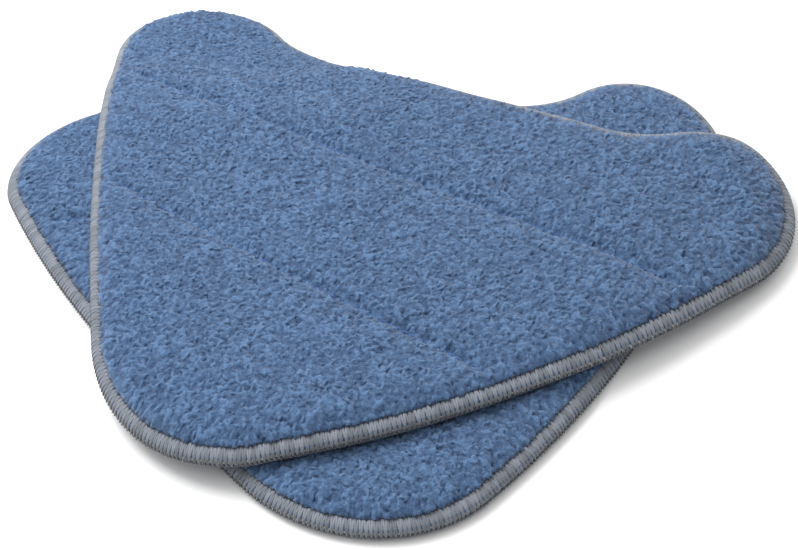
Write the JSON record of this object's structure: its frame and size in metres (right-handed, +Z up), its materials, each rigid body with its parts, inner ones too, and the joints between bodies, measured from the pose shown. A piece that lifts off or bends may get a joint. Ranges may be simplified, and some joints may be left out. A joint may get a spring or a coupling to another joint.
{
  "type": "triangular steam mop pads",
  "caption": "Triangular microfibre steam-mop pads lying turned on each other, with a quilted looped face, absorbent core, loop backing and grey overlocked edges.",
  "frame": {"origin": "on the surface that the stack lies on, under the middle of the stack's box", "axes": "+Z up, through the pads' thickness. +X along the lower pad's straight rear edge, to the right as seen from its front corner. +Y from the lower pad's front corner to its rear edge"},
  "size_m": [0.3102, 0.2854, 0.021],
  "materials": {
    "pile_cloth": "looped microfibre pile, matt",
    "core_felt": "needled polyester felt",
    "backing_cloth": "brushed loop knit",
    "edge_thread": "textured overlock thread",
    "row_thread": "twisted polyester sewing thread"
  },
  "bodies": {
    "lower_pad": {"lower_pad_backing_cloth": "backing_cloth", "lower_pad_core": "core_felt", "lower_pad_pile_cloth": "pile_cloth", "lower_pad_lower_looper_thread": "edge_thread", "lower_pad_upper_looper_thread": "edge_thread", "lower_pad_needle_thread": "edge_thread", "lower_pad_rear_row_top_thread": "row_thread", "lower_pad_rear_row_bobbin_thread": "row_thread", "lower_pad_front_row_top_thread": "row_thread", "lower_pad_front_row_bobbin_thread": "row_thread"},
    "upper_pad": {"upper_pad_backing_cloth": "backing_cloth", "upper_pad_core": "core_felt", "upper_pad_pile_cloth": "pile_cloth", "upper_pad_lower_looper_thread": "edge_thread", "upper_pad_upper_looper_thread": "edge_thread", "upper_pad_needle_thread": "edge_thread", "upper_pad_rear_row_top_thread": "row_thread", "upper_pad_rear_row_bobbin_thread": "row_thread", "upper_pad_front_row_top_thread": "row_thread", "upper_pad_front_row_bobbin_thread": "row_thread"}
  },
  "joints": [
    {"name": "upper_pad_lift", "type": "slide", "parent": "lower_pad", "child": "upper_pad", "axis": [0, 0, 1], "range_m": [0, 0.05]}
  ]
}
